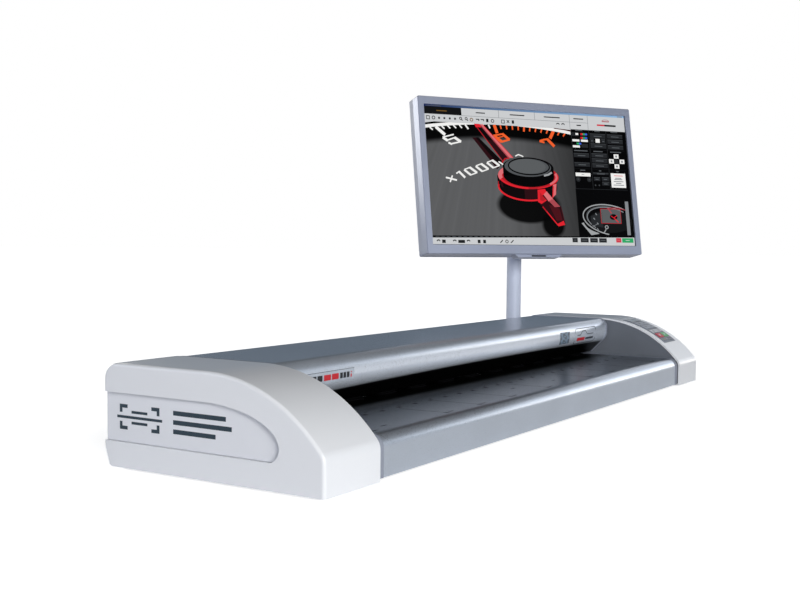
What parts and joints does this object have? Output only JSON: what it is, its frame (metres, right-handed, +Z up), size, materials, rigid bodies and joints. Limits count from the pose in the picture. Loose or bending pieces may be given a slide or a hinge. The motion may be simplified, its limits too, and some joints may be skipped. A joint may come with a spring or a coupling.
{
  "type": "wide-format sheet-feed scanner",
  "caption": "Wide-format sheet-feed scanner: white end caps, silver feed table, hinged lid, key panel and a swivelling monitor on a telescopic mast.",
  "frame": {"origin": "centre of the underside of the middle rubber foot, on the surface that the scanner stands on and at the centre of its footprint", "axes": "+X along the scanner from the operator's left to right, +Y from the operator's side to the back, +Z up"},
  "size_m": [1.2448, 0.4472, 0.5194],
  "materials": {
    "cap_white": "smooth moulded, light gloss",
    "inlay_white": "smooth, satin",
    "cheek_slate": "fine grain",
    "silver_sheet": "silver metallic paint",
    "trim_grey": "fine grain",
    "frame_steel": "zinc plated",
    "shaft_steel": "ground",
    "screw_steel": "nickel plated",
    "black_sheet": "matt black",
    "rear_sheet": "grey powder coat",
    "foot_rubber": "matt",
    "tyre_rubber": "ground",
    "belt_rubber": "matt",
    "bush_plastic": "natural acetal",
    "pulley_plastic": "moulded",
    "idler_plastic": "moulded",
    "plate_white": "calibration white",
    "glass_clear": "polished",
    "sensor_black": "fine grain",
    "carrier_steel": "black",
    "supply_metal": "galvanised",
    "board_green": "solder mask",
    "sink_aluminium": "extruded",
    "connector_black": "moulded",
    "motor_black": "black lacquer",
    "panel_grey": "printed foil",
    "display_dark": "tinted window",
    "key_grey": "silicone",
    "key_white": "silicone",
    "key_red": "silicone",
    "key_green": "silicone",
    "mast_paint": "pale blue-grey metallic",
    "mast_steel": "ground",
    "bracket_paint": "pale blue-grey",
    "knob_black": "moulded",
    "monitor_silver": "pale blue-grey metallic",
    "monitor_rear": "fine grain",
    "screen_black": "display surface",
    "button_dark": "smooth"
  },
  "bodies": {
    "base": {"base_tray": "rear_sheet", "rubber_feet": "foot_rubber", "side_frames": "frame_steel", "left_end_cap": "cap_white", "right_end_cap": "cap_white", "cap_inlays": "inlay_white", "cap_cheeks": "cheek_slate", "feed_table": "silver_sheet", "table_trims": "trim_grey", "exit_plate": "silver_sheet", "rear_panel": "rear_sheet", "case_screws": "screw_steel", "sensor_carrier": "carrier_steel", "sensor_modules": "sensor_black", "scan_glass": "glass_clear", "drive_bushes": "bush_plastic", "hinge_pins": "shaft_steel", "power_supply": "supply_metal", "controller_board": "board_green", "heatsink": "sink_aluminium", "power_inlet": "connector_black", "network_jacks": "connector_black", "drive_motor": "motor_black", "timing_belt": "belt_rubber", "control_panel": "panel_grey", "control_display": "display_dark", "mast_bracket": "bracket_paint", "mast": "mast_paint", "clamp_collar": "bracket_paint"},
    "lid": {"lid_shell": "silver_sheet", "lid_pan": "black_sheet", "lid_end_plates": "frame_steel", "lid_end_trims": "trim_grey", "pressure_plates": "plate_white"},
    "infeed_roller": {"infeed_shaft": "shaft_steel", "infeed_tyres": "tyre_rubber", "infeed_pulley": "pulley_plastic"},
    "outfeed_roller": {"outfeed_shaft": "shaft_steel", "outfeed_tyres": "tyre_rubber", "outfeed_pulley": "pulley_plastic"},
    "motor_spindle": {"motor_pulley": "shaft_steel"},
    "infeed_idler": {"infeed_idler": "idler_plastic"},
    "outfeed_idler": {"outfeed_idler": "idler_plastic"},
    "power_rocker": {"power_rocker": "connector_black"},
    "menu_key": {"menu_key": "key_grey"},
    "up_key": {"up_key": "key_grey"},
    "back_key": {"back_key": "key_grey"},
    "down_key": {"down_key": "key_grey"},
    "rewind_key": {"rewind_key": "key_white"},
    "forward_key": {"forward_key": "key_white"},
    "stop_key": {"stop_key": "key_red"},
    "start_key": {"start_key": "key_green"},
    "clamp_knob": {"clamp_knob": "knob_black"},
    "inner_mast": {"inner_mast": "mast_steel"},
    "swivel": {"swivel_head": "bracket_paint"},
    "monitor": {"tilt_head": "bracket_paint", "monitor_bezel": "monitor_silver", "monitor_back": "monitor_rear", "screen_panel": "screen_black"},
    "monitor_button": {"monitor_button": "button_dark"}
  },
  "joints": [
    {"name": "lid_hinge", "type": "hinge", "parent": "base", "child": "lid", "pos_m": [0, 0.1317, 0.098], "axis": [-1, 0, 0], "range_deg": [0, 40]},
    {"name": "infeed_spin", "type": "hinge", "parent": "base", "child": "infeed_roller", "pos_m": [0, 0.03, 0.0395], "axis": [-1, 0, 0], "continuous": true},
    {"name": "outfeed_spin", "type": "hinge", "parent": "base", "child": "outfeed_roller", "pos_m": [0, 0.102, 0.0395], "axis": [-1, 0, 0], "continuous": true},
    {"name": "motor_spin", "type": "hinge", "parent": "base", "child": "motor_spindle", "pos_m": [0, 0.066, 0.08], "axis": [-1, 0, 0], "continuous": true},
    {"name": "infeed_idler_spin", "type": "hinge", "parent": "lid", "child": "infeed_idler", "pos_m": [0, 0.03, 0.0608], "axis": [-1, 0, 0], "continuous": true},
    {"name": "outfeed_idler_spin", "type": "hinge", "parent": "lid", "child": "outfeed_idler", "pos_m": [0, 0.102, 0.0608], "axis": [-1, 0, 0], "continuous": true},
    {"name": "power_switch", "type": "hinge", "parent": "base", "child": "power_rocker", "pos_m": [-0.383, 0.146, 0.027], "axis": [1, 0, 0], "range_deg": [-16, 0]},
    {"name": "menu_key_press", "type": "slide", "parent": "base", "child": "menu_key", "axis": [0, 0.3322, -0.9432], "range_m": [0, 0.0008], "stiffness_N_per_m": 600, "springref_m": -0.0005},
    {"name": "up_key_press", "type": "slide", "parent": "base", "child": "up_key", "axis": [0, 0.3322, -0.9432], "range_m": [0, 0.0008], "stiffness_N_per_m": 600, "springref_m": -0.0005},
    {"name": "back_key_press", "type": "slide", "parent": "base", "child": "back_key", "axis": [0, 0.4003, -0.9164], "range_m": [0, 0.0008], "stiffness_N_per_m": 600, "springref_m": -0.0005},
    {"name": "down_key_press", "type": "slide", "parent": "base", "child": "down_key", "axis": [0, 0.4003, -0.9164], "range_m": [0, 0.0008], "stiffness_N_per_m": 600, "springref_m": -0.0005},
    {"name": "rewind_key_press", "type": "slide", "parent": "base", "child": "rewind_key", "axis": [0, 0.4726, -0.8813], "range_m": [0, 0.0008], "stiffness_N_per_m": 600, "springref_m": -0.0005},
    {"name": "forward_key_press", "type": "slide", "parent": "base", "child": "forward_key", "axis": [0, 0.4726, -0.8813], "range_m": [0, 0.0008], "stiffness_N_per_m": 600, "springref_m": -0.0005},
    {"name": "stop_key_press", "type": "slide", "parent": "base", "child": "stop_key", "axis": [0, 0.5329, -0.8462], "range_m": [0, 0.0008], "stiffness_N_per_m": 600, "springref_m": -0.0005},
    {"name": "start_key_press", "type": "slide", "parent": "base", "child": "start_key", "axis": [0, 0.5329, -0.8462], "range_m": [0, 0.0008], "stiffness_N_per_m": 600, "springref_m": -0.0005},
    {"name": "clamp_turn", "type": "hinge", "parent": "base", "child": "clamp_knob", "pos_m": [0.473, 0.199, 0.309], "axis": [0, 1, 0], "range_deg": [-180, 0]},
    {"name": "mast_height", "type": "slide", "parent": "base", "child": "inner_mast", "axis": [0, 0, 1], "range_m": [0, 0.08]},
    {"name": "screen_swivel", "type": "hinge", "parent": "inner_mast", "child": "swivel", "pos_m": [0.473, 0.172, 0.3691], "axis": [0, 0, 1], "range_deg": [-55, 125]},
    {"name": "screen_tilt", "type": "hinge", "parent": "swivel", "child": "monitor", "pos_m": [0.45873, 0.15147, 0.3691], "axis": [-0.8211, 0.5707, 0], "range_deg": [-15.5, 9.5]},
    {"name": "monitor_button_press", "type": "slide", "parent": "monitor", "child": "monitor_button", "axis": [0.5612, 0.8074, -0.1822], "range_m": [0, 0.0006], "stiffness_N_per_m": 500, "springref_m": -0.0005}
  ],
  "couplings": [
    {"joint": "outfeed_spin", "follows": "infeed_spin", "ratio": 1},
    {"joint": "motor_spin", "follows": "infeed_spin", "ratio": 2},
    {"joint": "infeed_idler_spin", "follows": "infeed_spin", "ratio": -1.3333},
    {"joint": "outfeed_idler_spin", "follows": "infeed_spin", "ratio": -1.3333}
  ]
}
